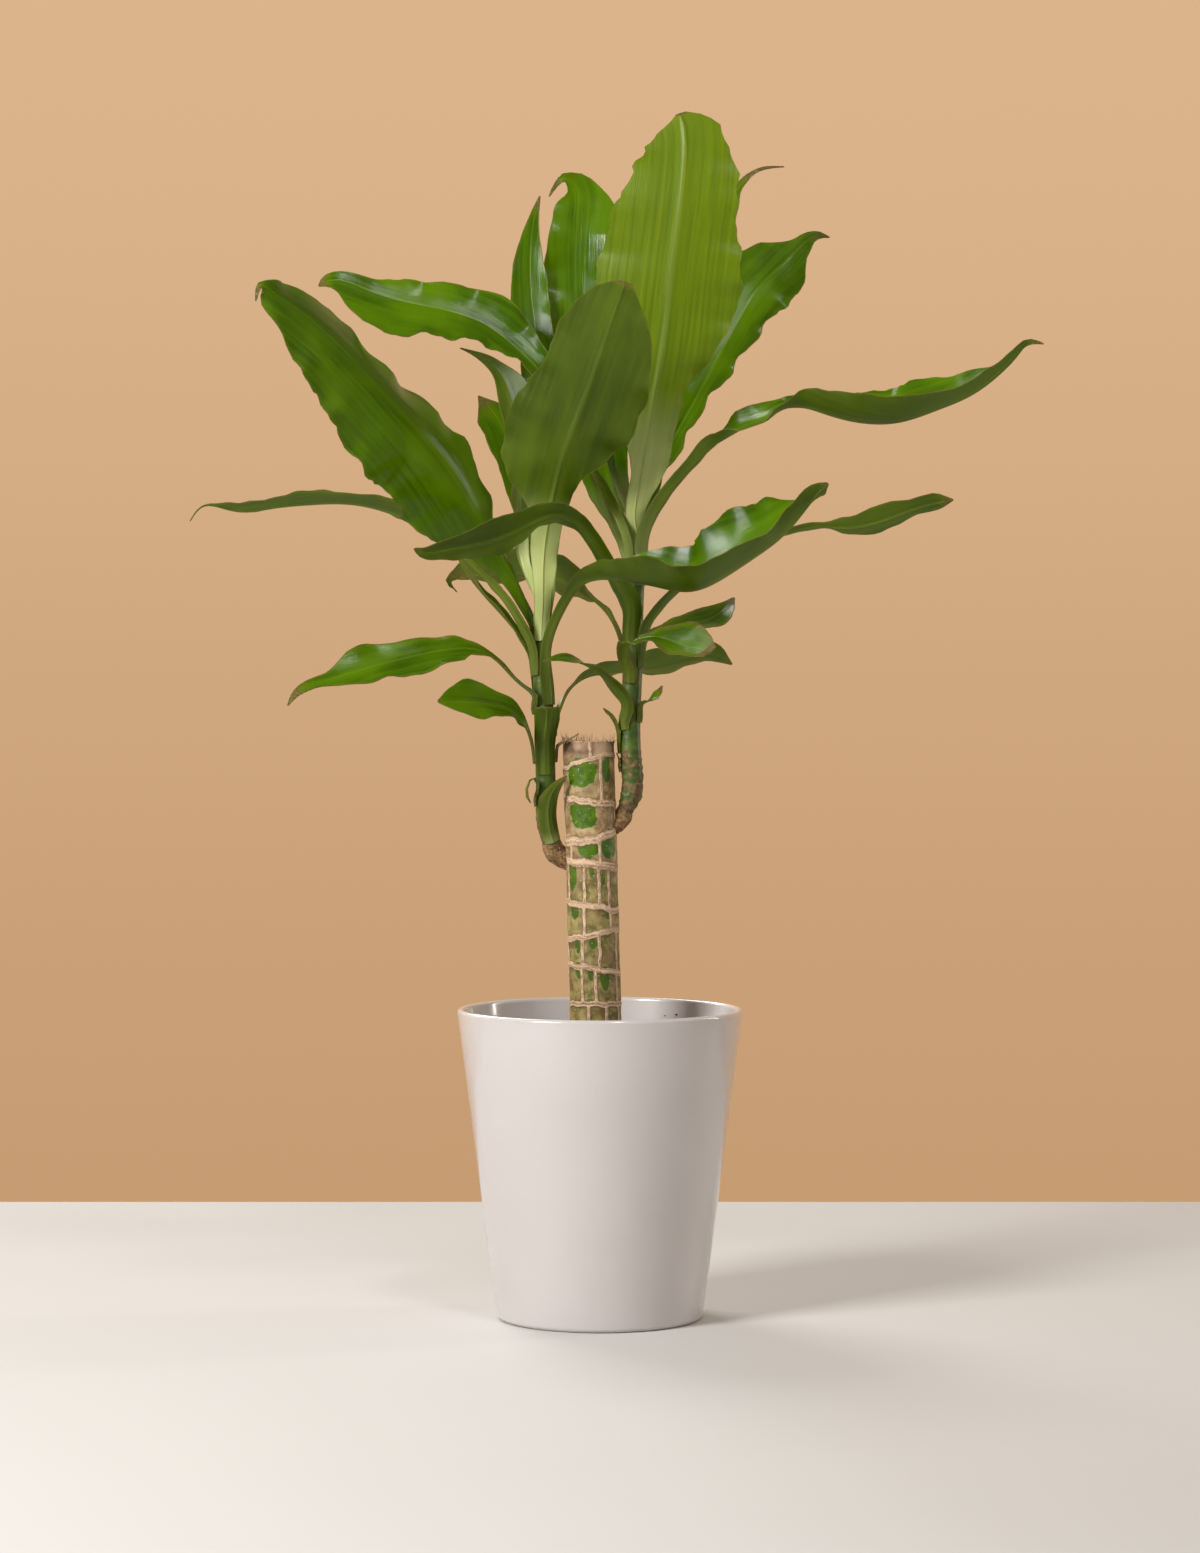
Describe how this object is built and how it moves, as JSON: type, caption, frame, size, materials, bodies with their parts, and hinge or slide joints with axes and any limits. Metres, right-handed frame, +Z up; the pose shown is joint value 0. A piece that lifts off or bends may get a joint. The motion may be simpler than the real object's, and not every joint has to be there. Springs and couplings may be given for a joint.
{
  "type": "potted dracaena",
  "caption": "Potted corn plant: a sawn cane in a tapered glazed pot, with leafy shoots whose arching strap leaves clasp their stems.",
  "frame": {"origin": "middle of the pot's flat foot, on the surface it stands on", "axes": "+Z up along the pot's axis; the pictured front faces -Y and the left shoot is at -X"},
  "size_m": [0.4855, 0.2401, 0.6894],
  "materials": {
    "glaze": "smooth pale warm grey glaze, softly glossy",
    "potting_mix": "loose dark peat and bark mix, dull",
    "cane_bark": "green cane under flaking papery tan bark",
    "shoot_skin": "green and brown leaf-scarred skin, satin",
    "leaf_blade": "glossy green with fine parallel veins and dry brown margins",
    "dry_bract": "dry papery brown"
  },
  "bodies": {
    "root": {"planter": "glaze", "potting_mix": "potting_mix", "cane": "cane_bark", "left_shoot_stem": "shoot_skin", "right_shoot_stem": "shoot_skin", "left_shoot_curled_bract": "dry_bract", "left_shoot_front_bract": "dry_bract", "left_shoot_dry_stub": "dry_bract", "left_shoot_cut_sheath": "dry_bract", "left_leaf_short": "leaf_blade", "left_leaf_low_right": "leaf_blade", "left_leaf_low_left": "leaf_blade", "left_leaf_back": "leaf_blade", "left_leaf_long_left": "leaf_blade", "left_leaf_front_right": "leaf_blade", "left_leaf_broad_left": "leaf_blade", "left_leaf_front_upright": "leaf_blade", "left_leaf_pale": "leaf_blade", "left_leaf_behind_pale": "leaf_blade", "left_leaf_narrow_upright": "leaf_blade", "right_shoot_bud_scale": "dry_bract", "right_shoot_curled_bract": "dry_bract", "right_leaf_tiny": "leaf_blade", "right_leaf_narrow_left": "leaf_blade", "right_leaf_brown_patched": "leaf_blade", "right_leaf_small_dark": "leaf_blade", "right_leaf_back_left": "leaf_blade", "right_leaf_right": "leaf_blade", "right_leaf_front_left": "leaf_blade", "right_leaf_arched_left": "leaf_blade", "right_leaf_long_right": "leaf_blade", "right_leaf_tall_upright": "leaf_blade", "right_leaf_right_upright": "leaf_blade", "right_leaf_hidden_tip": "leaf_blade", "right_leaf_inner": "leaf_blade", "right_leaf_back_upright": "leaf_blade"}
  },
  "joints": []
}
